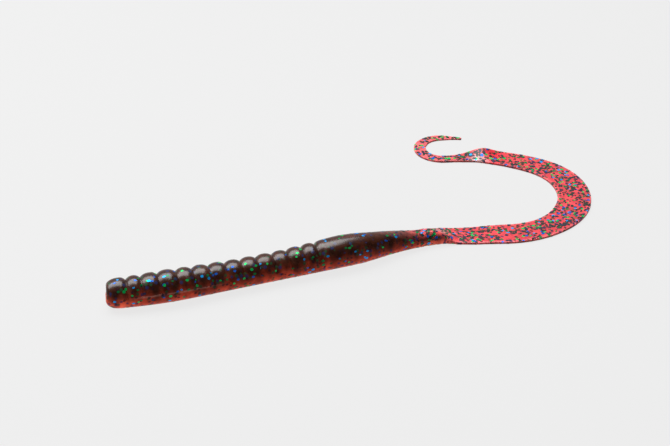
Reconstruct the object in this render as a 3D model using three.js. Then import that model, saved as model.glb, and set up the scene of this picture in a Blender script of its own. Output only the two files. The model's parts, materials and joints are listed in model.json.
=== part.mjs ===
// A ribbed soft-plastic worm lure with a flat ribbon tail, lying on a table. Millimetres, +Z up.
// The worm is one soft casting. It flexes at the grooves between its ribs and all along its tail, so it is
// built here as a chain of short solids, one per rib or stretch of tail, that meet at thin gaps.
// The origin is on the table under the collar, and +X runs along the straight back towards the tail.
import * as THREE from 'three';

// ---- Driving dimensions ----

const RIB_LENGTHS = [6.2, 4.6, 5.4, 6.0, 5.2, 5.4, 5.3, 5.1, 5.2, 5.4, 4.9, 5.0, 4.6];
const COLLAR_LENGTH = 12.0;
const REAR_BODY_LENGTHS = [10.5, 12.0, 13.0];
const TAIL_ROOT_LENGTH = 10.0;
const RIBBON_LENGTHS = [14.0, 13.0, 13.5, 14.0, 14.0, 13.5, 13.0, 12.0, 12.0, 8.5];
const TIP_LENGTH = 10.8;

// Radius of the body at distances from the nose: a plump front, a slight waist, a full collar, a long taper.
const BODY_RADII = [
  [0, 4.75],
  [18, 5.3],
  [40, 4.8],
  [56, 4.75],
  [76, 5.25],
  [83, 5.0],
  [92, 4.1],
  [103, 3.05],
  [116, 2.5],
];

// Full width of the ribbon at distances from the nose.
const RIBBON_WIDTHS = [
  [115, 5.4],
  [120, 9.2],
  [125, 10.0],
  [134, 11.2],
  [150, 10.6],
  [165, 11.5],
  [182, 11.2],
  [194, 10.6],
  [206, 9.6],
  [216, 8.5],
  [221, 6.8],
  [228, 3.8],
  [246, 4.3],
  [252, 3.5],
  [257, 3.2],
  [261, 1.6],
  [264, 0.9],
];

// The way the worm lies: stretches of steady curvature from the nose, each a length and a turn in degrees.
const START_HEADING = -13.15;
const ROUTE = [
  [26.6, 13.15],
  [54, 1],
  [8, 8.4],
  [12, -8],
  [14, -7.4],
  [20, -11],
  [11, 22],
  [37.5, 85],
  [15, 38],
  [18, 21],
  [6, 22],
  [9, -6],
  [25.5, -183],
  [7.5, -14],
];

const BELLY_FLAT = 0.4; // how far the belly is pressed flat where it lies
const BELLY_STEP = 0.15; // the ribs stand this far proud of the smooth belly
const GROOVE_DEPTH = 1.0;
const NOSE_CORNER = 1.8;
const NOSE_SHOULDER = [1.0, 0.35]; // back from the first groove's edge, and down from the crest
const RIBBON_THICKNESS = 1.0;
const HINGE_GAP = 0.3;
const BODY_RELIEF = 9.5; // degrees that each end face leans back, so that neighbours clear in a bend
const RIBBON_RELIEF = 6.6;

const ROUNDING = 0.001;
const AROUND = 32; // sides of the round body
const CROWN_STEPS = 6;
const CORNER_STEPS = 3;
const RIBBON_STEP = 2.5;

const RADIANS = Math.PI / 180;
const BODY_LEAN = Math.tan(BODY_RELIEF * RADIANS);
const RIBBON_LEAN = Math.tan(RIBBON_RELIEF * RADIANS);

// ---- Where each station lies ----

// A value from a table of [distance, value], in straight lines between its rows.
function between(table, s) {
  const next = table.findIndex(([at]) => at >= s);
  if (next <= 0) return table.at(next)[1];
  const [s0, v0] = table[next - 1];
  const [s1, v1] = table[next];
  return THREE.MathUtils.mapLinear(s, s0, s1, v0, v1);
}

const bodyRadius = (s) => between(BODY_RADII, s);
const ribbonWidth = (s) => between(RIBBON_WIDTHS, s);

// Position and heading at a distance from the nose, found by going along the stretches of the route.
function walk(s) {
  const at = new THREE.Vector2();
  let heading = START_HEADING * RADIANS;
  let left = s;
  for (const [length, turn] of ROUTE) {
    const go = Math.min(left, length);
    const angle = (turn * RADIANS * go) / length;
    const chord = angle === 0 ? go : (2 * go * Math.sin(angle / 2)) / angle;
    at.x += chord * Math.cos(heading + angle / 2);
    at.y += chord * Math.sin(heading + angle / 2);
    heading += angle;
    left -= go;
    if (left <= 0) break;
  }
  return { at, heading };
}

const RIBS_END = RIB_LENGTHS.reduce((sum, length) => sum + length, 0);
const COLLAR = walk(RIBS_END + COLLAR_LENGTH / 2);

// A station in the worm's own frame, with the collar's middle at the origin and its heading along +X.
function place(s) {
  const { at, heading } = walk(s);
  const point = at.sub(COLLAR.at).rotateAround(new THREE.Vector2(), -COLLAR.heading);
  return { point, heading: heading - COLLAR.heading };
}

// ---- Round body solids ----

// A round solid about the local X axis, from a profile of [x, radius] that starts and ends on the axis.
function turned(profile) {
  const points = profile.map(([x, radius]) => new THREE.Vector2(radius, x));
  const lathe = new THREE.LatheGeometry(points, AROUND);
  return lathe.rotateZ(-Math.PI / 2);
}

function movePoints(geometry, change) {
  const position = geometry.attributes.position;
  const point = new THREE.Vector3();
  for (let i = 0; i < position.count; i++) {
    change(point.fromBufferAttribute(position, i));
    position.setXYZ(i, point.x, point.y, point.z);
  }
  geometry.computeVertexNormals();
  return geometry;
}

// Below the parting line, everything outside the inner radius is brought to the belly's radius.
function smoothBelly(geometry, inner, belly) {
  return movePoints(geometry, (point) => {
    const radius = Math.hypot(point.y, point.z);
    if (point.z < -ROUNDING && radius > inner) {
      point.y *= belly / radius;
      point.z *= belly / radius;
    }
  });
}

// The belly lies flat on the table, this far below the local axis.
function restOn(geometry, depth) {
  return movePoints(geometry, (point) => {
    point.z = Math.max(point.z, -depth);
  });
}

const hingeFace = (length) => length / 2 - HINGE_GAP / 2;

// A rib's side: an arch from groove to groove.
function crown(from, to, crest) {
  const groove = crest - GROOVE_DEPTH;
  return Array.from({ length: CROWN_STEPS + 1 }, (_, i) => {
    const angle = (Math.PI * i) / CROWN_STEPS;
    const x = THREE.MathUtils.lerp(from, to, (1 - Math.cos(angle)) / 2);
    return [x, groove + GROOVE_DEPTH * Math.sin(angle)];
  });
}

function ribProfile(length, crest) {
  const face = hingeFace(length);
  const edge = face - (crest - GROOVE_DEPTH) * BODY_LEAN;
  return [[-face, 0], ...crown(-edge, edge, crest), [face, 0]];
}

// The nose has a flat front face with a rounded rim, and falls to the first groove behind.
function noseProfile(length, crest) {
  const front = -length / 2;
  const face = hingeFace(length);
  const groove = crest - GROOVE_DEPTH;
  const rim = Array.from({ length: CORNER_STEPS + 1 }, (_, i) => {
    const angle = (Math.PI / 2) * (i / CORNER_STEPS);
    const x = front + NOSE_CORNER * (1 - Math.cos(angle));
    return [x, crest - NOSE_CORNER * (1 - Math.sin(angle))];
  });
  const edge = face - groove * BODY_LEAN;
  const shoulder = [edge - NOSE_SHOULDER[0], crest - NOSE_SHOULDER[1]];
  return [[front, 0], ...rim, shoulder, [edge, groove], [face, 0]];
}

const ribHeight = (crest) => crest - BELLY_STEP - BELLY_FLAT; // of its axis above the table

function ribGeometry(length, crest, profile) {
  const inner = crest - GROOVE_DEPTH - ROUNDING;
  const ribbed = turned(profile(length, crest));
  return restOn(smoothBelly(ribbed, inner, crest - BELLY_STEP), ribHeight(crest));
}

// A smooth stretch of body whose radius changes along it, lying with its underside on the table.
function smoothGeometry(start, length) {
  const [startRadius, middleRadius, endRadius] = [0, 0.5, 1].map((t) => bodyRadius(start + length * t));
  const face = hingeFace(length);
  const profile = [
    [-face, 0],
    [-face + startRadius * BODY_LEAN, startRadius],
    [0, middleRadius],
    [face - endRadius * BODY_LEAN, endRadius],
    [face, 0],
  ];
  const pitch = Math.atan2(startRadius - endRadius, length);
  return restOn(turned(profile).rotateY(pitch), middleRadius - BELLY_FLAT);
}

// ---- Flat ribbon solids ----

// Plan outline of a stretch of ribbon about its own middle, whose two edges follow the route.
function ribbonOutline(start, end, isLast) {
  const middle = place((start + end) / 2);
  const steps = Math.max(2, Math.round((end - start) / RIBBON_STEP));
  const local = (point) => point.sub(middle.point).rotateAround(new THREE.Vector2(), -middle.heading);
  const inset = (s) => HINGE_GAP / 2 + (ribbonWidth(s) / 2) * RIBBON_LEAN;
  const low = start + inset(start);
  const high = isLast ? end : end - inset(end);
  const edge = (side) =>
    Array.from({ length: steps + 1 }, (_, i) => {
      const s = THREE.MathUtils.lerp(low, high, i / steps);
      const { point, heading } = place(s);
      const across = new THREE.Vector2(-Math.sin(heading), Math.cos(heading));
      return local(point.addScaledVector(across, (side * ribbonWidth(s)) / 2));
    });
  const startHinge = local(place(start + HINGE_GAP / 2).point);
  const endHinge = isLast ? [] : [local(place(end - HINGE_GAP / 2).point)];
  return [startHinge, ...edge(-1), ...endHinge, ...edge(1).reverse()];
}

function ribbonGeometry(start, end, isLast = false) {
  const shape = new THREE.Shape(ribbonOutline(start, end, isLast));
  return new THREE.ExtrudeGeometry(shape, { depth: RIBBON_THICKNESS, bevelEnabled: false });
}

// The tail root falls from the height of the round body to the flat ribbon as it flares.
function tailRootGeometry(start, end) {
  const height = 2 * bodyRadius(start) - BELLY_FLAT;
  const half = (end - start) / 2;
  return movePoints(ribbonGeometry(start, end), (point) => {
    const left = THREE.MathUtils.clamp((half - point.x) / (end - start), 0, 1);
    if (point.z > 0) point.z = RIBBON_THICKNESS + (height - RIBBON_THICKNESS) * left ** 2;
  });
}

// ---- The worm ----

const BODY_RED = new THREE.MeshStandardMaterial({ color: 0x5a1a15, roughness: 0.25, metalness: 0 });
const TAIL_RED = new THREE.MeshStandardMaterial({ color: 0xe05560, roughness: 0.3, metalness: 0 });

const worm = new THREE.Group();
const numbered = (name, i) => `${name}_${String(i).padStart(2, '0')}`;
let station = 0; // distance from the nose to the next piece

// Adds the next piece of the chain, with its local origin at its middle and this far above the table.
function addNext(name, length, material, height, geometry) {
  const mesh = new THREE.Mesh(geometry, material.clone());
  const { point, heading } = place(station + length / 2);
  mesh.name = name;
  mesh.position.set(point.x, point.y, height);
  mesh.rotation.z = heading;
  worm.add(mesh);
  station += length;
}

RIB_LENGTHS.forEach((length, i) => {
  const crest = bodyRadius(station + length / 2);
  const name = i === 0 ? 'nose_segment' : numbered('body_segment', i + 1);
  const profile = i === 0 ? noseProfile : ribProfile;
  addNext(name, length, BODY_RED, ribHeight(crest), ribGeometry(length, crest, profile));
});

[COLLAR_LENGTH, ...REAR_BODY_LENGTHS].forEach((length, i) => {
  const name = i === 0 ? 'collar' : numbered('rear_body', i);
  const height = bodyRadius(station + length / 2) - BELLY_FLAT;
  addNext(name, length, BODY_RED, height, smoothGeometry(station, length));
});

const rootEnd = station + TAIL_ROOT_LENGTH;
addNext('tail_root', TAIL_ROOT_LENGTH, TAIL_RED, 0, tailRootGeometry(station, rootEnd));

RIBBON_LENGTHS.forEach((length, i) => {
  const geometry = ribbonGeometry(station, station + length);
  addNext(numbered('tail_ribbon', i + 1), length, TAIL_RED, 0, geometry);
});

addNext('tail_tip', TIP_LENGTH, TAIL_RED, 0, ribbonGeometry(station, station + TIP_LENGTH, true));

export default worm;
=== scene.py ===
"""A ribbed soft-plastic worm lure with a ribbon tail, lying on a pale table, built over the CAD frame.

The worm's skin is one continuous surface along the route it lies on. It is cut at the middle of every CAD
segment, so each piece holds one hinge. Lengths are in millimetres here until they are turned into Blender's
metres. The frame's +X runs towards the tail.
"""

import json
import math

import bpy
import numpy as np
from mathutils import Matrix, Vector

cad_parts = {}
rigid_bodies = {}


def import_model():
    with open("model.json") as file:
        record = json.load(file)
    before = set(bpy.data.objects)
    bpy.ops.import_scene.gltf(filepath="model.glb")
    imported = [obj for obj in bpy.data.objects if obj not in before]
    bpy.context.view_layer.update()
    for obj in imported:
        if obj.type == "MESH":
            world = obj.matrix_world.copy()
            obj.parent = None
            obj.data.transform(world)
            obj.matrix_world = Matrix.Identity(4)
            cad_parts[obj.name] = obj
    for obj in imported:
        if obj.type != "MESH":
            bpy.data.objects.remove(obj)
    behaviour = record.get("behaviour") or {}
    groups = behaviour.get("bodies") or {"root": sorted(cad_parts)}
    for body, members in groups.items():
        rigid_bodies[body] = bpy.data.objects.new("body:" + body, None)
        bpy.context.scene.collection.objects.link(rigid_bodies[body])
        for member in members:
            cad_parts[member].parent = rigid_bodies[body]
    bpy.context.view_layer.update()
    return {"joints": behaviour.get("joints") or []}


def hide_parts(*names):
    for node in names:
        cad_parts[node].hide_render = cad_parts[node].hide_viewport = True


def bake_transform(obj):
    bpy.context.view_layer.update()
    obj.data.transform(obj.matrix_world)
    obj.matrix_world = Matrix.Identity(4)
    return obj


MM = 0.001

# ---- The route: stretches of steady curvature from the nose, each a length and a turn in degrees ----

COLLAR_MIDDLE = 74.3  # distance from the nose to the frame's origin, where the worm heads along +X
ROUTE = [
    (26.6, 13.15),
    (54, 1),
    (8, 8.4),
    (12, -8),
    (14, -7.4),
    (20, -11),
    (11, 22),
    (37.5, 85),
    (15, 38),
    (18, 21),
    (6, 22),
    (9, -6),
    (25.5, -183),
    (7.5, -14),
]
LENGTH = 264.1
ROUTE_STEP = 0.05
ROUTE_OVERRUN = 2.0  # the route is worked out this far past both ends of the worm
ROUTE_OFF = 0.1  # the most that a hinge may lie off the route

# ---- The round body ----

BODY_RADII = [
    (0, 4.75),
    (18, 5.3),
    (40, 4.8),
    (56, 4.75),
    (76, 5.25),
    (83, 5.0),
    (92, 4.1),
    (103, 2.95),
    (116, 2.6),
    (130, 2.0),
]
RIB_COUNT = 13
GROOVE_DEPTH = 1.0
RIB_ROUNDNESS = 2.4  # 2 is a parabola; more is flatter on top
GROOVE_TOP = math.sin(math.radians(50.0))
COLLAR_RISE = 2.4  # length over which the collar rises out of the last groove
BELLY_STEP = 0.15  # the belly half is this much smaller than the back half
BELLY_STEP_END = 12.0  # the step fades out over this length behind the last groove
BELLY_FLAT = 0.4
LEDGE_ANGLE = 5.0  # the parting line's height round the section, in degrees above the middle
LEDGE_HALF = 0.6
GROOVE_AT_LEDGE = 0.6  # share of their depth that they keep at the parting line
NOSE_CORNER = 3.6  # length of the rounding behind the front face
NOSE_INSET_TOP, NOSE_INSET_BELLY = 1.9, 2.8  # how far the rounding comes in at the front
NOSE_SHOULDER = 4.4  # twice the length over which the nose falls to the first groove
NOSE_BULGE = 0.3  # the belly half of the nose stands this far forward
NOSE_BULGE_END = 4.0  # distance at which that is gone
NOSE_DISH = 0.3  # depth of the hollow in the nose's front face

# ---- The ribbon ----

RIBBON_WIDTHS = [
    (108, 9.0),
    (113, 9.8),
    (118, 9.6),
    (125, 10.2),
    (134, 11.3),
    (150, 10.6),
    (165, 11.5),
    (182, 11.2),
    (194, 10.6),
    (206, 9.6),
    (216, 8.5),
    (221, 6.8),
    (228, 3.8),
    (246, 4.3),
    (252, 3.5),
    (257, 3.2),
    (261, 1.6),
    (264, 0.9),
]
RIBBON_THICKNESS = [(100, 1.0), (226, 1.0), (245, 0.85), (264, 0.6)]
# Where the section starts and ends its change from round to flat, on the +Y side and on the -Y side.
FLATTENS_LEFT = (103.0, 116.3)
FLATTENS_RIGHT = (109.0, 116.0)
FLATTENS_LATE = 2.0  # the section widens before it falls, by this distance
RIBBON_START = 112.0
EDGE_SQUARENESS = 7.0
EDGE_CROWDING = 0.6  # below 1 draws the points across the ribbon closer together at its edges
ROOT_SHIFT, ROOT_SHIFT_AT, ROOT_SHIFT_SPREAD = 1.4, 114.5, 6.0  # the ribbon starts a little to the +Y side
RIDGE_HEIGHT, RIDGE_WIDTH = 0.5, 2.2  # the body's core runs on a little way as a ridge
RIDGE_AT, RIDGE_SPREAD = 117.0, 4.0
RIPPLE_AT, RIPPLE_SPREAD = 218.0, 4.0
RIPPLE_RISE, RIPPLE_PULL = 2.6, 2.6  # the far edge buckles up and is drawn in

# ---- The mesh ----

UPPER_POINTS, LOWER_POINTS = 49, 31
# Stretches of the worm, each with its start, its end and the distance between rings.
RING_SPANS = (
    (0, 2.2, 0.15),
    (2.2, 72, 0.25),
    (72, 108, 0.6),
    (108, 121, 0.35),
    (121, 214, 0.9),
    (214, 228, 0.4),
    (228, LENGTH, 0.7),
)
GROOVE_HALF = 0.05  # a ring lies this far to each side of a groove's bottom
NOSE_RINGS = (0.02, 0.3, 0.6, 0.85, 0.97)  # sizes of the rings that close the front face
TIP_RINGS = (0.9, 0.7, 0.4, 0.05)  # and of those that close the tip
TIP_ROUNDING = 0.25
SMOOTHING = 4.0
GLOSSY_HALF = 0.38  # half the share of the back, about its middle, that mirrors the lights


def smooth(low, high, value):
    t = np.clip((value - low) / (high - low), 0, 1)
    return t * t * (3 - 2 * t)


def mix(a, b, t):
    return a + (b - a) * t


def table_value(table, s):
    """A value from a table of (distance, value), with its corners softened."""
    at, values = np.array(table, float).T
    offsets = (-1, -0.5, 0, 0.5, 1)
    return sum(np.interp(s + SMOOTHING * o / 2, at, values) for o in offsets) / len(offsets)


def make_route():
    """Distance, position and heading along the whole route, in small steps."""
    ends = np.cumsum([length for length, _ in ROUTE])
    turns = np.cumsum([turn for _, turn in ROUTE])
    s = np.arange(-ROUTE_OVERRUN, LENGTH + ROUTE_OVERRUN, ROUTE_STEP)
    heading = np.radians(np.interp(s, np.r_[0, ends], np.r_[0, turns]))
    heading -= np.interp(COLLAR_MIDDLE, s, heading)
    middle = np.r_[heading[0], (heading[1:] + heading[:-1]) / 2]
    x, y = np.cumsum(np.cos(middle)) * ROUTE_STEP, np.cumsum(np.sin(middle)) * ROUTE_STEP
    x -= np.interp(COLLAR_MIDDLE, s, x)
    y -= np.interp(COLLAR_MIDDLE, s, y)
    return s, x, y, heading


def hinge_chain(frame):
    """The hinges from nose to tail: (distance along the route, body in front, body behind)."""
    chain, here = [], "nose_segment"
    waiting = list(frame["joints"])
    while waiting:
        joint = next(j for j in waiting if here in (j["parent"], j["child"]))
        waiting.remove(joint)
        behind = joint["child"] if here == joint["parent"] else joint["parent"]
        x, y = (np.array(joint["pos_m"][:2]) / MM).tolist()
        off = np.hypot(ROUTE_X - x, ROUTE_Y - y)
        if off.min() > ROUTE_OFF:
            raise ValueError(f"{joint['name']} is {off.min():.2f} mm off the route")
        chain.append((float(ROUTE_S[off.argmin()]), here, behind))
        here = behind
    return chain


def body_radius(s):
    return table_value(BODY_RADII, s)


def groove(s):
    """1 in the bottom of a groove between ribs, 0 on a crest and on the smooth body."""
    depth = np.zeros_like(s)
    starts = np.r_[GROOVES[0] - NOSE_SHOULDER, GROOVES[:-1]]
    for start, end in zip(starts, GROOVES):
        inside = (s >= start) & (s < end)
        across = np.abs(2 * (s - start) / (end - start) - 1)
        depth = np.where(inside, across**RIB_ROUNDNESS, depth)
    past = np.clip((s - GROOVES[-1]) / COLLAR_RISE, 0, 1)
    depth = np.where(past > 0, (1 - past) ** RIB_ROUNDNESS, depth)
    return np.where(s < GROOVES[0] - NOSE_SHOULDER / 2, 0, depth)


def ribbon_spread(q):
    """1 at the ribbon's +Y edge to -1 at its -Y edge."""
    turn = np.cos(np.pi * q)
    return np.sign(turn) * np.abs(turn) ** EDGE_CROWDING


def ribbon_share(s, spread):
    """0 where the section is round, 1 where it is a flat ribbon."""
    right = (1 - spread) / 2
    start, full = (mix(a, b, right) for a, b in zip(FLATTENS_LEFT, FLATTENS_RIGHT))
    return smooth(start, full, s)


def section(s, upper, q):
    """Across and up of a skin point. q runs 0 to 1 from the +Y side to the -Y side, over or under."""
    radius = body_radius(s)
    step = BELLY_STEP * (1 - smooth(GROOVES[-1], GROOVES[-1] + BELLY_STEP_END, s))
    side = np.where(upper, 1.0, -1.0)
    low = np.where(upper, LEDGE_ANGLE + LEDGE_HALF, LEDGE_ANGLE - LEDGE_HALF)
    high = np.where(upper, 180 - low, -180 - low)
    angle = np.radians(mix(low, high, q))
    ledge_height = math.sin(math.radians(LEDGE_ANGLE))
    depth = mix(GROOVE_AT_LEDGE, 1.0, smooth(ledge_height, GROOVE_TOP, np.sin(angle)))
    reach = np.where(upper, radius - GROOVE_DEPTH * depth * groove(s), radius - step)
    corner = np.clip((NOSE_CORNER - s) / NOSE_CORNER, 0, 1)
    inset = mix(NOSE_INSET_TOP, NOSE_INSET_BELLY, np.clip(-np.sin(angle), 0, 1))
    reach = reach - inset * (1 - np.sqrt(1 - corner**2))
    round_across = reach * np.cos(angle)
    round_up = radius - step - BELLY_FLAT + reach * np.sin(angle)

    spread = ribbon_spread(q)
    thickness = table_value(RIBBON_THICKNESS, s)
    shift = ROOT_SHIFT * np.exp(-(((s - ROOT_SHIFT_AT) / ROOT_SHIFT_SPREAD) ** 2))
    flat_across = spread * table_value(RIBBON_WIDTHS, s) / 2 + shift
    swell = np.clip(1 - np.abs(spread) ** EDGE_SQUARENESS, 0, 1) ** (1 / EDGE_SQUARENESS)
    flat_up = thickness / 2 * (1 + side * swell)

    across = mix(round_across, flat_across, ribbon_share(s, spread))
    up = np.maximum(mix(round_up, flat_up, ribbon_share(s - FLATTENS_LATE, spread)), 0)
    ridge = RIDGE_HEIGHT * np.exp(-(((s - RIDGE_AT) / RIDGE_SPREAD) ** 2) - (across / RIDGE_WIDTH) ** 2)
    ripple = np.exp(-(((s - RIPPLE_AT) / RIPPLE_SPREAD) ** 2)) * (1 - spread) / 2
    return across + RIPPLE_PULL * ripple, up + np.where(upper, ridge, 0) + RIPPLE_RISE * ripple


def skin_point(s, upper, q, shrink=1.0):
    """Position in mm of a skin point. shrink draws the section in towards its middle, to close an end."""
    s, upper, q, shrink = np.broadcast_arrays(
        np.asarray(s, float), np.asarray(upper, bool), np.asarray(q, float), np.asarray(shrink, float)
    )
    across, up = section(s, upper, q)
    middle = section(s, np.full_like(upper, True), np.full_like(s, 0.5))[1] / 2
    across, up = across * shrink, mix(middle, up, shrink)
    low_half = np.clip(0.5 - (up - middle), 0, 1)
    forward = NOSE_BULGE * low_half * (1 - smooth(0, NOSE_BULGE_END, s)) * shrink
    dish = NOSE_DISH * (1 - shrink**2) * (s < LENGTH / 2)
    along = s - forward + dish
    x = np.interp(along, ROUTE_S, ROUTE_X)
    y = np.interp(along, ROUTE_S, ROUTE_Y)
    heading = np.interp(along, ROUTE_S, ROUTE_HEADING)
    return np.stack([x - across * np.sin(heading), y + across * np.cos(heading), up], axis=-1)


# ---- Colour of the plastic, with its painted light and shade, by where it is on the worm ----

BACK_DARK = np.array([0.030, 0.0075, 0.0035])
# Painted light on the back's crest: a glow, as if light from behind came through the ribs' thin tops, and a
# painted sheen of the bright backdrop; darker on the taper.
BACK_CREST_GLOW = np.array([0.29, 0.060, 0.048])
TAPER_CREST_GLOW = np.array([0.11, 0.032, 0.026])
# The redder crest at the tail's root is partly the thin plastic's own red and partly painted light through
# it.
THIN_RED = np.array([0.66, 0.080, 0.080])
# Painted light in the belly: a red glow, as if light came up through it from the table, brighter still at
# the nose and the rear.
BELLY_GLOW_RED = np.array([0.55, 0.053, 0.022])
LIT_RED = np.array([0.95, 0.120, 0.060])
# A painted highlight along the parting line.
SEAM_HIGHLIGHT = np.array([0.42, 0.20, 0.16])
# A painted orange glow along the belly's lowest rim, as if light from the table came through it.
BELLY_RIM_GLOW = np.array([0.75, 0.24, 0.06])
TAIL_RED = np.array([0.56, 0.045, 0.058])
# Painted light through the ribbon's thin plastic, paler at its rim and its tip.
TAIL_LIT_PALE = np.array([0.68, 0.24, 0.25])
# Painted shade low on the ribbon's edge wall, where it meets the table.
TAIL_WALL_SHADE = np.array([0.46, 0.09, 0.065])
# Painted shade on the nose side of the fold's crest: a deeper red where the slope is turned from the light.
FOLD_SHADE_RED = np.array([0.60, 0.015, 0.03])
# A painted reflection of the light, paler, on the tip side of the fold's crest, on the ribbon's +Y half.
FOLD_HIGHLIGHT = np.array([0.46, 0.31, 0.31])

# Where the colours change along the worm, each as the distances that it starts and ends at.
NOSE_GLOW_FADES, REAR_GLOW_GROWS = (3, 12), (98, 110)
SEAM_APPEARS, SEAM_FADES = (6, 12), (28, 38)
CREST_DARKENS, CREST_REDDENS = (82, 90), (98, 109)
CREST_SPREADS, CREST_FILLS = (88, 104), (96, 112)
BACK_NARROWS = (100, 110)
TAIL_COLOUR_GROWS = (102, 114)
TIP_THINS = (224, 232)

# Heights are from the section's middle, in radii, and a pair is the value in front and the value behind.
CREST_LOW, CREST_HIGH = (0.9, 0.15), (1.0, 0.9)
BACK_LOW, BACK_HIGH = (-0.8, -0.5), 0.52
UNEVENNESS = 0.08
UNEVEN_WAVES = ((0.42, 1), (0.97, 0), (2.1, 2))  # of the back's lower edge: radians for each mm, and start
# Heights of the belly rim's painted orange glow.
ORANGE_HEIGHT = (0.2, 1.0)  # mm above the table
# Where round the section the parting line's painted highlight lies, and how strong it is.
SEAM_REACH, SEAM_SHARE = 0.499, 0.5

# On the ribbon: distances from its edge in mm, heights as a share of its thickness, and shares of a colour.
RIM_INSET, RIM_PALENESS, TIP_PALENESS = (0.1, 1.3), 0.3, 0.25
WALL_INSET, WALL_HEIGHT = (0.05, 0.35), (0.25, 0.7)
FOLD_WIDTH = 3.0
FOLD_RED_BEFORE, FOLD_RED_SHARE = 4.5, 0.8
FOLD_PALE_AFTER, FOLD_PALE_SHARE = 2.0, 0.85
EARLY_TAIL_SHARE = 0.25  # how much of the tail's colour comes before the section flattens


def blend_colour(a, b, weight):
    return mix(a, b, weight[..., None])


def body_colour(s, q, up):
    """Thick plastic is dark above, with painted light: a red glow in the belly, a glow and sheen on the
    crest, a highlight on the parting line.
    """
    radius = body_radius(s)
    height = (up - radius) / radius
    # The belly's painted glow, brighter at the nose and the rear.
    glow = np.maximum(1 - smooth(*NOSE_GLOW_FADES, s), smooth(*REAR_GLOW_GROWS, s))
    red = blend_colour(BELLY_GLOW_RED, LIT_RED, glow)
    belly = blend_colour(red, BELLY_RIM_GLOW, 1 - smooth(*ORANGE_HEIGHT, up))
    # The crest carries a painted glow and sheen, darker on the taper and redder at the root.
    crest = blend_colour(BACK_CREST_GLOW, TAPER_CREST_GLOW, smooth(*CREST_DARKENS, s))
    crest = blend_colour(crest, THIN_RED, smooth(*CREST_REDDENS, s))
    crest_low = mix(*CREST_LOW, smooth(*CREST_SPREADS, s))
    crest_high = mix(*CREST_HIGH, smooth(*CREST_FILLS, s))
    back = blend_colour(BACK_DARK, crest, smooth(crest_low, crest_high, height))
    uneven = UNEVENNESS * sum(np.sin(rate * s + start) for rate, start in UNEVEN_WAVES)
    back_low = mix(*BACK_LOW, smooth(*BACK_NARROWS, s))
    body = blend_colour(belly, back, smooth(back_low, BACK_HIGH, height + uneven))
    # A painted highlight along the parting line, near the nose only.
    seam = (np.abs(q - 0.5) > SEAM_REACH) * smooth(*SEAM_APPEARS, s) * (1 - smooth(*SEAM_FADES, s))
    return blend_colour(body, SEAM_HIGHLIGHT, SEAM_SHARE * seam)


def ribbon_colour(s, q, up):
    """Thin plastic is a clear red, with painted light making it paler at its rim and tip, painted shade low
    on its wall and on the nose side of the fold, and a painted highlight on the fold's tip side.
    """
    spread = ribbon_spread(q)
    inset = (1 - np.abs(spread)) * table_value(RIBBON_WIDTHS, s) / 2
    rim = 1 - smooth(*RIM_INSET, inset)
    low = 1 - smooth(*WALL_HEIGHT, up / table_value(RIBBON_THICKNESS, s))
    # Painted shade on the low part of the edge wall.
    wall = low * (1 - smooth(*WALL_INSET, inset))
    # Painted shade on the nose side of the fold, and a painted highlight on its tip side, on the +Y half.
    before = np.exp(-(((s - RIPPLE_AT + FOLD_RED_BEFORE) / FOLD_WIDTH) ** 2))
    after = np.exp(-(((s - RIPPLE_AT - FOLD_PALE_AFTER) / FOLD_WIDTH) ** 2)) * smooth(-0.5, 0.5, spread)
    # The rim and the tip are painted paler, as if light came through the thin plastic.
    pale = np.maximum(RIM_PALENESS * rim, TIP_PALENESS * smooth(*TIP_THINS, s))
    flat = blend_colour(TAIL_RED, TAIL_LIT_PALE, pale)
    flat = blend_colour(flat, FOLD_SHADE_RED, FOLD_RED_SHARE * before)
    flat = blend_colour(flat, FOLD_HIGHLIGHT, FOLD_PALE_SHARE * after)
    return blend_colour(flat, TAIL_WALL_SHADE, wall)


def plastic_colour(s, upper, q):
    """The skin's colour, which changes from the body's to the ribbon's about the tail's root."""
    s, upper, q = np.broadcast_arrays(s, upper, q)
    up = section(s, upper, q)[1]
    early = EARLY_TAIL_SHARE * smooth(*TAIL_COLOUR_GROWS, s)
    flattened = (1 - EARLY_TAIL_SHARE) * ribbon_share(s - FLATTENS_LATE, ribbon_spread(q))
    return blend_colour(ribbon_colour(s, q, up), body_colour(s, q, up), 1 - (early + flattened))


# ---- Materials ----


def new_material(name):
    material = bpy.data.materials.new(name)
    material.use_nodes = True
    return material, material.node_tree.nodes, material.node_tree.links


def math_node(nodes, links, operation, a, b):
    node = nodes.new("ShaderNodeMath")
    node.operation = operation
    for socket, value in zip(node.inputs, (a, b)):
        if isinstance(value, (int, float)):
            socket.default_value = value
        else:
            links.new(value, socket)
    return node.outputs[0]


def colour_mix(nodes, links, factor, a, b):
    node = nodes.new("ShaderNodeMix")
    node.data_type = "RGBA"
    for index, value in ((0, factor), (6, a), (7, b)):
        socket = node.inputs[index]
        if isinstance(value, (int, float, tuple)):
            socket.default_value = value
        else:
            links.new(value, socket)
    return node.outputs[2]


def map_range(nodes, links, value, numbers, kind="LINEAR"):
    """A value carried from one range to another. numbers are the first range's ends, then the second's."""
    node = nodes.new("ShaderNodeMapRange")
    node.interpolation_type = kind
    links.new(value, node.inputs[0])
    for socket, number in zip(node.inputs[1:5], numbers):
        socket.default_value = number
    return node.outputs[0]


CLOUD_FREQUENCY, CLOUD_DETAIL = 0.4, 3.0
CLOUD_RANGE = (0.4, 0.65)  # noise values of the dimmest plastic and the brightest
# Flakes deep inside: offset of the pattern, mm between places, share of places with a flake, and colour.
DEEP_FLAKES = (
    (0.0, 1.5, 0.30, (0.010, 0.055, 0.022, 1)),
    (7.0, 1.6, 0.26, (0.012, 0.022, 0.085, 1)),
    (13.0, 1.3, 0.34, (0.022, 0.008, 0.014, 1)),
)
DEEP_FLAKE_EDGE = (0.30, 0.42)
DEEP_FLAKE_STRENGTH = 0.75
SKIN_RIPPLE_FREQUENCY = 0.9
SKIN_RIPPLE_STRENGTH, SKIN_RIPPLE_HEIGHT = 0.25, 0.1


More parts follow.
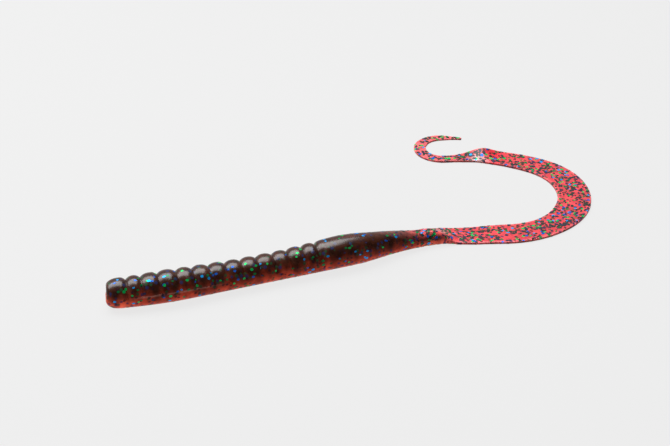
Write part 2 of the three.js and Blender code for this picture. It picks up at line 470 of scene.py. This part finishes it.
def plastisol(name, specular, roughness, bright, dim):
    """Glossy soft plastic: the painted tint in brighter and dimmer patches, and dark flakes deep inside."""
    material, nodes, links = new_material(name)
    shader = nodes["Principled BSDF"]
    tint = nodes.new("ShaderNodeAttribute")
    tint.attribute_name = "tint"
    rest = nodes.new("ShaderNodeAttribute")
    rest.attribute_name = "rest"

    cloud = nodes.new("ShaderNodeTexNoise")
    cloud.inputs["Scale"].default_value = CLOUD_FREQUENCY
    cloud.inputs["Detail"].default_value = CLOUD_DETAIL
    links.new(rest.outputs["Vector"], cloud.inputs["Vector"])
    brightness = map_range(nodes, links, cloud.outputs["Fac"], (*CLOUD_RANGE, dim, bright))
    gleam = nodes.new("ShaderNodeVectorMath")
    gleam.operation = "SCALE"
    links.new(tint.outputs["Color"], gleam.inputs[0])
    links.new(brightness, gleam.inputs["Scale"])

    colour = gleam.outputs[0]
    for offset, size, density, flake in DEEP_FLAKES:
        cells = nodes.new("ShaderNodeTexVoronoi")
        cells.inputs["Scale"].default_value = 1 / size
        shifted = nodes.new("ShaderNodeVectorMath")
        links.new(rest.outputs["Vector"], shifted.inputs[0])
        shifted.inputs[1].default_value = (offset, offset, offset)
        links.new(shifted.outputs[0], cells.inputs["Vector"])
        spot = map_range(nodes, links, cells.outputs["Distance"], (*DEEP_FLAKE_EDGE, 1, 0), "SMOOTHSTEP")
        channel = nodes.new("ShaderNodeSeparateColor")
        links.new(cells.outputs["Color"], channel.inputs[0])
        chosen = math_node(nodes, links, "LESS_THAN", channel.outputs[0], density)
        mask = math_node(nodes, links, "MULTIPLY", spot, chosen)
        mask = math_node(nodes, links, "MULTIPLY", mask, DEEP_FLAKE_STRENGTH)
        colour = colour_mix(nodes, links, mask, colour, flake)
    links.new(colour, shader.inputs["Base Color"])

    ripple = nodes.new("ShaderNodeTexNoise")
    ripple.inputs["Scale"].default_value = SKIN_RIPPLE_FREQUENCY
    links.new(rest.outputs["Vector"], ripple.inputs["Vector"])
    bump = nodes.new("ShaderNodeBump")
    bump.inputs["Strength"].default_value = SKIN_RIPPLE_STRENGTH
    bump.inputs["Distance"].default_value = SKIN_RIPPLE_HEIGHT * MM
    links.new(ripple.outputs["Fac"], bump.inputs["Height"])
    links.new(bump.outputs["Normal"], shader.inputs["Normal"])

    shader.inputs["Roughness"].default_value = roughness
    shader.inputs["Specular IOR Level"].default_value = specular
    return material


def flake_material(name, colour, metallic):
    material, nodes, _ = new_material(name)
    shader = nodes["Principled BSDF"]
    shader.inputs["Base Color"].default_value = (*colour, 1)
    shader.inputs["Metallic"].default_value = metallic
    shader.inputs["Roughness"].default_value = 0.4
    shader.inputs["Specular IOR Level"].default_value = 0.3
    return material


# ---- The skin ----


def ring_stations():
    """(distance, shrink) of every ring from the nose's middle to the tip's."""
    nose = [(0.0, shrink) for shrink in NOSE_RINGS]
    along = np.concatenate([np.arange(start, end, step) for start, end, step in RING_SPANS])
    along = np.unique(np.r_[along, GROOVES - GROOVE_HALF, GROOVES + GROOVE_HALF, CUTS[1:-1], LENGTH])
    tip = [(LENGTH + TIP_ROUNDING * (1 - shrink), shrink) for shrink in TIP_RINGS]
    return nose + [(float(s), 1.0) for s in along] + tip


def loop_points():
    """(upper, q) of every point round a ring, going over the top and back underneath."""
    upper = np.r_[np.ones(UPPER_POINTS, bool), np.zeros(LOWER_POINTS, bool)]
    q = np.r_[np.linspace(0, 1, UPPER_POINTS), np.linspace(1, 0, LOWER_POINTS)]
    return upper, q


def surface_grid():
    """The whole skin as a grid of points, one row for each ring, with its normals and tint."""
    rings = ring_stations()
    s = np.array([station for station, _ in rings])[:, None]
    shrink = np.array([value for _, value in rings])[:, None]
    upper, q = loop_points()
    points = skin_point(s, upper, q, shrink)
    after = np.roll(points, -1, axis=1)
    face_normals = np.cross(after[1:] - points[:-1], points[1:] - after[:-1])
    normals = np.zeros_like(points)
    for rows in (slice(0, -1), slice(1, None)):
        normals[rows] += face_normals + np.roll(face_normals, 1, axis=1)
    normals /= np.maximum(np.linalg.norm(normals, axis=-1, keepdims=True), 1e-12)
    return s[:, 0], points, normals, plastic_colour(s, upper, q)


def mesh_object(name, vertices, faces, normals, attributes, materials):
    mesh = bpy.data.meshes.new(name)
    mesh.from_pydata((vertices * MM).tolist(), [], faces)
    for attribute, kind, values in attributes:
        layer = mesh.attributes.new(attribute, kind, "POINT")
        field = "color" if kind == "FLOAT_COLOR" else "vector"
        layer.data.foreach_set(field, np.asarray(values, np.float32).ravel())
    for material in materials:
        mesh.materials.append(material)
    mesh.validate()
    for polygon in mesh.polygons:
        polygon.use_smooth = True
    mesh.normals_split_custom_set_from_vertices(normals.tolist())
    item = bpy.data.objects.new(name, mesh)
    bpy.context.scene.collection.objects.link(item)
    return item


# The bodies in front of the two hinges whose blend ends are listed from the body behind. Blended the usual
# way round, it does so at these two when every joint is at its upper limit. The two were chosen from the
# poses that were checked, so this is not a cure: most other poses that move many joints still tear
# somewhere.
BLENDED_FROM_BEHIND = ("tail_root", "tail_ribbon_08")


def bend_over(item, i):
    """Finds the ends of a blend of a piece over hinge i, with both of its end rings wholly on one body, and
    bakes the piece's transform.
    """
    s, front, behind = CHAIN[i]
    heading = np.interp(s, ROUTE_S, ROUTE_HEADING)
    along = np.array([math.cos(heading), math.sin(heading), 0])
    middle = np.array([np.interp(s, ROUTE_S, ROUTE_X), np.interp(s, ROUTE_S, ROUTE_Y), 0])
    upper, q = loop_points()
    start = max((skin_point(CUTS[i], upper, q) - middle) @ along)
    end = min((skin_point(CUTS[i + 1], upper, q) - middle) @ along)
    ends = [(front, (middle + along * start) * MM), (behind, (middle + along * end) * MM)]
    if front in BLENDED_FROM_BEHIND:
        ends.reverse()
    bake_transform(item)


def grid_faces(rows, columns):
    """Quads of a closed tube of so many rows."""
    corners = ((0, 0), (0, 1), (1, 1), (1, 0))
    return [
        [(r + down) * columns + (c + on) % columns for down, on in corners]
        for r in range(rows - 1)
        for c in range(columns)
    ]


def make_skin(materials):
    """One piece of skin for each hinge, and each stands for the CAD segments it covers."""
    upper, q = loop_points()
    glossy = upper & (np.abs(q - 0.5) < GLOSSY_HALF)
    stations, points, normals, tint = surface_grid()
    last_piece = len(CHAIN) - 1
    for i, (s, front, behind) in enumerate(CHAIN):
        first = 0 if i == 0 else int(np.abs(stations - CUTS[i]).argmin())
        last = len(stations) if i == last_piece else int(np.abs(stations - CUTS[i + 1]).argmin()) + 1
        rows = slice(first, last)
        tints = tint[rows].reshape(-1, 3)
        vertices = points[rows].reshape(-1, 3)
        item = mesh_object(
            f"skin_{front}",
            vertices,
            grid_faces(last - first, points.shape[1]),
            normals[rows].reshape(-1, 3),
            [
                ("tint", "FLOAT_COLOR", np.c_[tints, np.ones(len(tints))]),
                ("rest", "FLOAT_VECTOR", vertices),
            ],
            materials,
        )
        on_body = (stations[first:last - 1] < RIBBON_START)[:, None]
        kinds = np.where(glossy, np.where(on_body, 0, 2), 1)
        item.data.polygons.foreach_set("material_index", kinds.ravel())
        bend_over(item, i)
        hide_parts(front, *([behind] if i == last_piece else []))


# ---- Glitter ----

BODY_FLAKE_RADIUS, TAIL_FLAKE_RADIUS = 0.52, 0.60
TAIL_MIX_START = 102  # where the flakes change from the body's mix of kinds to the tail's
FLAKES_THICKEN = (94, 110)  # where their size and density change from the body's to the tail's
FLAKE_CORNERS = 6
FLAKE_SIZES, FLAKE_SQUASH = (0.7, 1.2), (0.6, 1.0)  # shares of the radius, at random
FLAKE_INNER_RING = 0.55
FLAKE_LIFT = (0.02, 0.06)
FLAKE_SEED = 11
FLAKE_END_MARGIN, FLAKE_CELL = 1.0, 0.5  # mm without flakes at each end, and the length of a cell to fill
FLAKE_COLUMNS = 60  # cells from one side to the other
FLAKE_EDGE_MARGIN, FLAKE_EDGE_LIMIT = 0.01, 0.005  # the least q of a cell's middle, and of a flake's
BODY_FLAKES_PER_MM2 = 0.13
TAIL_FLAKES_PER_MM2 = 0.72
TIP_THINNED = 0.1  # the share of the tail's flakes that the tip is without
STEP_ALONG, STEP_ACROSS = 0.1, 0.001  # small steps in s and q, to measure the skin's slope and area
EDGE_SLOPE = 0.6  # the ribbon's skin with a steeper normal than this is its edge, and has no flakes
# name, colour, metallic, share of the body's flakes, share of the tail's
FLAKE_KINDS = [
    ("flake_green", (0.0, 0.42, 0.09), 0.5, 0.24, 0.07),
    ("flake_deep_green", (0.0, 0.15, 0.04), 0.4, 0.20, 0.07),
    ("flake_blue", (0.0, 0.27, 0.66), 0.5, 0.20, 0.05),
    ("flake_royal_blue", (0.0, 0.08, 0.42), 0.4, 0.16, 0.06),
    ("flake_dark", (0.015, 0.019, 0.014), 0.0, 0.10, 0.50),
    ("flake_violet", (0.021, 0.011, 0.040), 0.0, 0.10, 0.25),
]


def flake_places(generator):
    """(s, upper, q) of flakes scattered evenly over the skin's area."""
    stations = np.arange(FLAKE_END_MARGIN, LENGTH - FLAKE_END_MARGIN, FLAKE_CELL)
    steps = np.linspace(FLAKE_EDGE_MARGIN, 1 - FLAKE_EDGE_MARGIN, FLAKE_COLUMNS)
    step = steps[1] - steps[0]
    places = []
    for over in (True, False):
        s, q = stations[:, None], steps[None, :]
        here = skin_point(s, over, q)
        along = skin_point(s + STEP_ALONG, over, q) - here
        across = skin_point(s, over, q + STEP_ACROSS) - here
        patch = np.cross(along, across)
        area = np.linalg.norm(patch, axis=-1)
        on_edge = (s > RIBBON_START) & (np.abs(patch[..., 2]) < EDGE_SLOPE * area)
        area = area / (STEP_ALONG * STEP_ACROSS)
        area = area * FLAKE_CELL * step
        thinned = 1 - TIP_THINNED * smooth(*TIP_THINS, s)
        density = mix(BODY_FLAKES_PER_MM2, TAIL_FLAKES_PER_MM2 * thinned, smooth(*FLAKES_THICKEN, s))
        expected = np.where(on_edge, 0, area * density)
        rows, columns = np.nonzero(generator.random(expected.shape) < expected)
        jitter = generator.random((2, len(rows))) - 0.5
        places += [
            (
                stations[r] + a * FLAKE_CELL,
                over,
                float(np.clip(steps[c] + b * step, FLAKE_EDGE_LIMIT, 1 - FLAKE_EDGE_LIMIT)),
            )
            for r, c, a, b in zip(rows, columns, *jitter)
        ]
    return places


def flake_shape(s, over, q, generator):
    """Vertices of a hexagonal flake that lies on the skin: its middle and two rings of corners."""
    here = skin_point(s, over, q)
    along = (skin_point(s + STEP_ALONG, over, q) - here) / STEP_ALONG
    across = (skin_point(s, over, q + STEP_ACROSS) - here) / STEP_ACROSS
    normal = np.cross(along, across)
    normal /= np.linalg.norm(normal)
    if over == (normal[2] < 0):
        normal = -normal
    radius = mix(BODY_FLAKE_RADIUS, TAIL_FLAKE_RADIUS, smooth(*FLAKES_THICKEN, s))
    radius *= generator.uniform(*FLAKE_SIZES)
    squash = generator.uniform(*FLAKE_SQUASH)
    turn = generator.uniform(0, math.tau)
    spin = -1 if over else 1  # so that every flake faces outwards
    angles = turn + spin * np.arange(FLAKE_CORNERS) * math.tau / FLAKE_CORNERS
    reach = np.r_[0, np.full(FLAKE_CORNERS, FLAKE_INNER_RING), np.ones(FLAKE_CORNERS)] * radius
    angles = np.r_[0, angles, angles]
    ds = reach * np.cos(angles) / np.linalg.norm(along)
    dq = reach * squash * np.sin(angles) / np.linalg.norm(across)
    lift = generator.uniform(*FLAKE_LIFT)
    corners = skin_point(s + ds, over, np.clip(q + dq, 0, 1))
    return corners + normal * lift, np.tile(normal, (len(corners), 1))


def flake_faces(first):
    """The triangles and quads of one flake whose vertices start at first."""
    faces = []
    for k in range(FLAKE_CORNERS):
        inner, inner_next = first + 1 + k, first + 1 + (k + 1) % FLAKE_CORNERS
        faces.append([first, inner, inner_next])
        faces.append([inner, inner + FLAKE_CORNERS, inner_next + FLAKE_CORNERS, inner_next])
    return faces


def make_flakes(materials):
    """The flakes over each hinge are one piece, put through the same steps as the skin under them."""
    generator = np.random.default_rng(FLAKE_SEED)
    shares = np.array([[kind[3], kind[4]] for kind in FLAKE_KINDS])
    groups = [[] for _ in CHAIN]
    for s, over, q in flake_places(generator):
        groups[int(np.clip(np.searchsorted(CUTS, s) - 1, 0, len(CHAIN) - 1))].append((s, over, q))
    for i, group in enumerate(groups):
        vertices, normals, faces, kinds = [], [], [], []
        for s, over, q in group:
            share = shares[:, 0 if s < TAIL_MIX_START else 1]
            kind = int(generator.choice(len(share), p=share / share.sum()))
            faces += flake_faces(sum(len(v) for v in vertices))
            kinds += [kind] * (2 * FLAKE_CORNERS)
            shape, shape_normals = flake_shape(s, over, q, generator)
            vertices.append(shape)
            normals.append(shape_normals)
        item = mesh_object(
            f"flakes_{CHAIN[i][1]}", np.concatenate(vertices), faces, np.concatenate(normals), [], materials
        )
        item.data.polygons.foreach_set("material_index", kinds)
        bend_over(item, i)


# ---- Table, light and camera ----

VIEW_HEADING = math.radians(68.62)  # of the camera's level view direction, from +X
VIEW_AWAY = Vector((math.cos(VIEW_HEADING), math.sin(VIEW_HEADING), 0))
VIEW_ACROSS = Vector((math.sin(VIEW_HEADING), -math.cos(VIEW_HEADING), 0))
LOOK_AT = Vector((9.96, 24.47, 0))
CAMERA_DISTANCE = 620
CAMERA_ELEVATION = math.radians(31)
LENS_MM, SENSOR_MM = 100, 36
FLOOR_HALF_M = 6.0
SOFTBOX_ELEVATION = math.radians(73)  # above the horizon, behind the worm
SOFTBOX_AWAY_M = 0.6
SOFTBOX_LEFT_M = 0.38
SOFTBOX_SIZE_M = (1.1, 0.45)
SOFTBOX_WATTS = 13.6
STUDIO_RAMP = (-0.1, 0.7, 0.02, 0.5)  # how far a direction faces the light side, then the light's strength
STUDIO_LEAN = 0.5  # the light side is turned this much to the left of straight ahead
STUDIO_COLOUR = (1.0, 0.98, 0.97, 1)
TABLE_GREY, TABLE_ROUGHNESS, TABLE_GLOW = 0.04, 0.9, 0.78


def make_floor():
    half = FLOOR_HALF_M
    mesh = bpy.data.meshes.new("table_top")
    corners = [(-half, -half, 0), (half, -half, 0), (half, half, 0), (-half, half, 0)]
    mesh.from_pydata(corners, [], [(0, 1, 2, 3)])
    material, nodes, _ = new_material("table_white")
    shader = nodes["Principled BSDF"]
    shader.inputs["Base Color"].default_value = (TABLE_GREY, TABLE_GREY, TABLE_GREY, 1)
    shader.inputs["Roughness"].default_value = TABLE_ROUGHNESS
    shader.inputs["Specular IOR Level"].default_value = 0.0
    shader.inputs["Emission Color"].default_value = (1, 1, 1, 1)
    shader.inputs["Emission Strength"].default_value = TABLE_GLOW
    mesh.materials.append(material)
    floor = bpy.data.objects.new("table_top", mesh)
    bpy.context.scene.collection.objects.link(floor)


def make_softbox():
    light = bpy.data.lights.new("softbox", "AREA")
    light.shape = "RECTANGLE"
    light.size, light.size_y = SOFTBOX_SIZE_M
    light.energy = SOFTBOX_WATTS
    box = bpy.data.objects.new("softbox", light)
    back = VIEW_AWAY * math.cos(SOFTBOX_ELEVATION) + Vector((0, 0, math.sin(SOFTBOX_ELEVATION)))
    box.location = back * SOFTBOX_AWAY_M - VIEW_ACROSS * SOFTBOX_LEFT_M
    box.rotation_euler = Matrix((VIEW_ACROSS, back.cross(VIEW_ACROSS), back)).transposed().to_euler()
    bpy.context.scene.collection.objects.link(box)


def make_world():
    """A studio that is light behind the worm and to its left, and dark in front of it."""
    world = bpy.data.worlds.new("studio")
    bpy.context.scene.world = world
    world.use_nodes = True
    nodes, links = world.node_tree.nodes, world.node_tree.links
    place = nodes.new("ShaderNodeTexCoord")
    facing = nodes.new("ShaderNodeVectorMath")
    facing.operation = "DOT_PRODUCT"
    facing.inputs[1].default_value = (VIEW_AWAY - VIEW_ACROSS * STUDIO_LEAN).normalized()
    links.new(place.outputs["Generated"], facing.inputs[0])
    strength = map_range(nodes, links, facing.outputs["Value"], STUDIO_RAMP)
    background = nodes["Background"]
    background.inputs["Color"].default_value = STUDIO_COLOUR
    links.new(strength, background.inputs["Strength"])


def make_camera():
    camera = bpy.data.objects.new("camera", bpy.data.cameras.new("camera"))
    camera.data.lens, camera.data.sensor_width = LENS_MM, SENSOR_MM
    camera.data.clip_start, camera.data.clip_end = 0.01, 20
    towards = VIEW_AWAY * math.cos(CAMERA_ELEVATION) - Vector((0, 0, math.sin(CAMERA_ELEVATION)))
    camera.location = (LOOK_AT - towards * CAMERA_DISTANCE) * MM
    camera.rotation_euler = towards.to_track_quat("-Z", "Y").to_euler()
    bpy.context.scene.collection.objects.link(camera)
    bpy.context.scene.camera = camera


# ---- The scene ----

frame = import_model()
ROUTE_S, ROUTE_X, ROUTE_Y, ROUTE_HEADING = make_route()
CHAIN = hinge_chain(frame)
HINGES = np.array([hinge[0] for hinge in CHAIN])
GROOVES = HINGES[:RIB_COUNT]
CUTS = np.r_[HINGES[0] / 2, (HINGES[1:] + HINGES[:-1]) / 2, (HINGES[-1] + LENGTH) / 2]

make_skin([
    plastisol("plastisol_back", 0.375, 0.27, 1.6, 0.7),
    plastisol("plastisol_belly", 0.05, 0.3, 1.4, 0.7),
    plastisol("plastisol_tail", 0.3, 0.25, 1.2, 0.8),
])
make_flakes([flake_material(*kind[:3]) for kind in FLAKE_KINDS])
make_floor()
make_softbox()
make_world()
make_camera()
bpy.context.scene.view_settings.view_transform = "Standard"
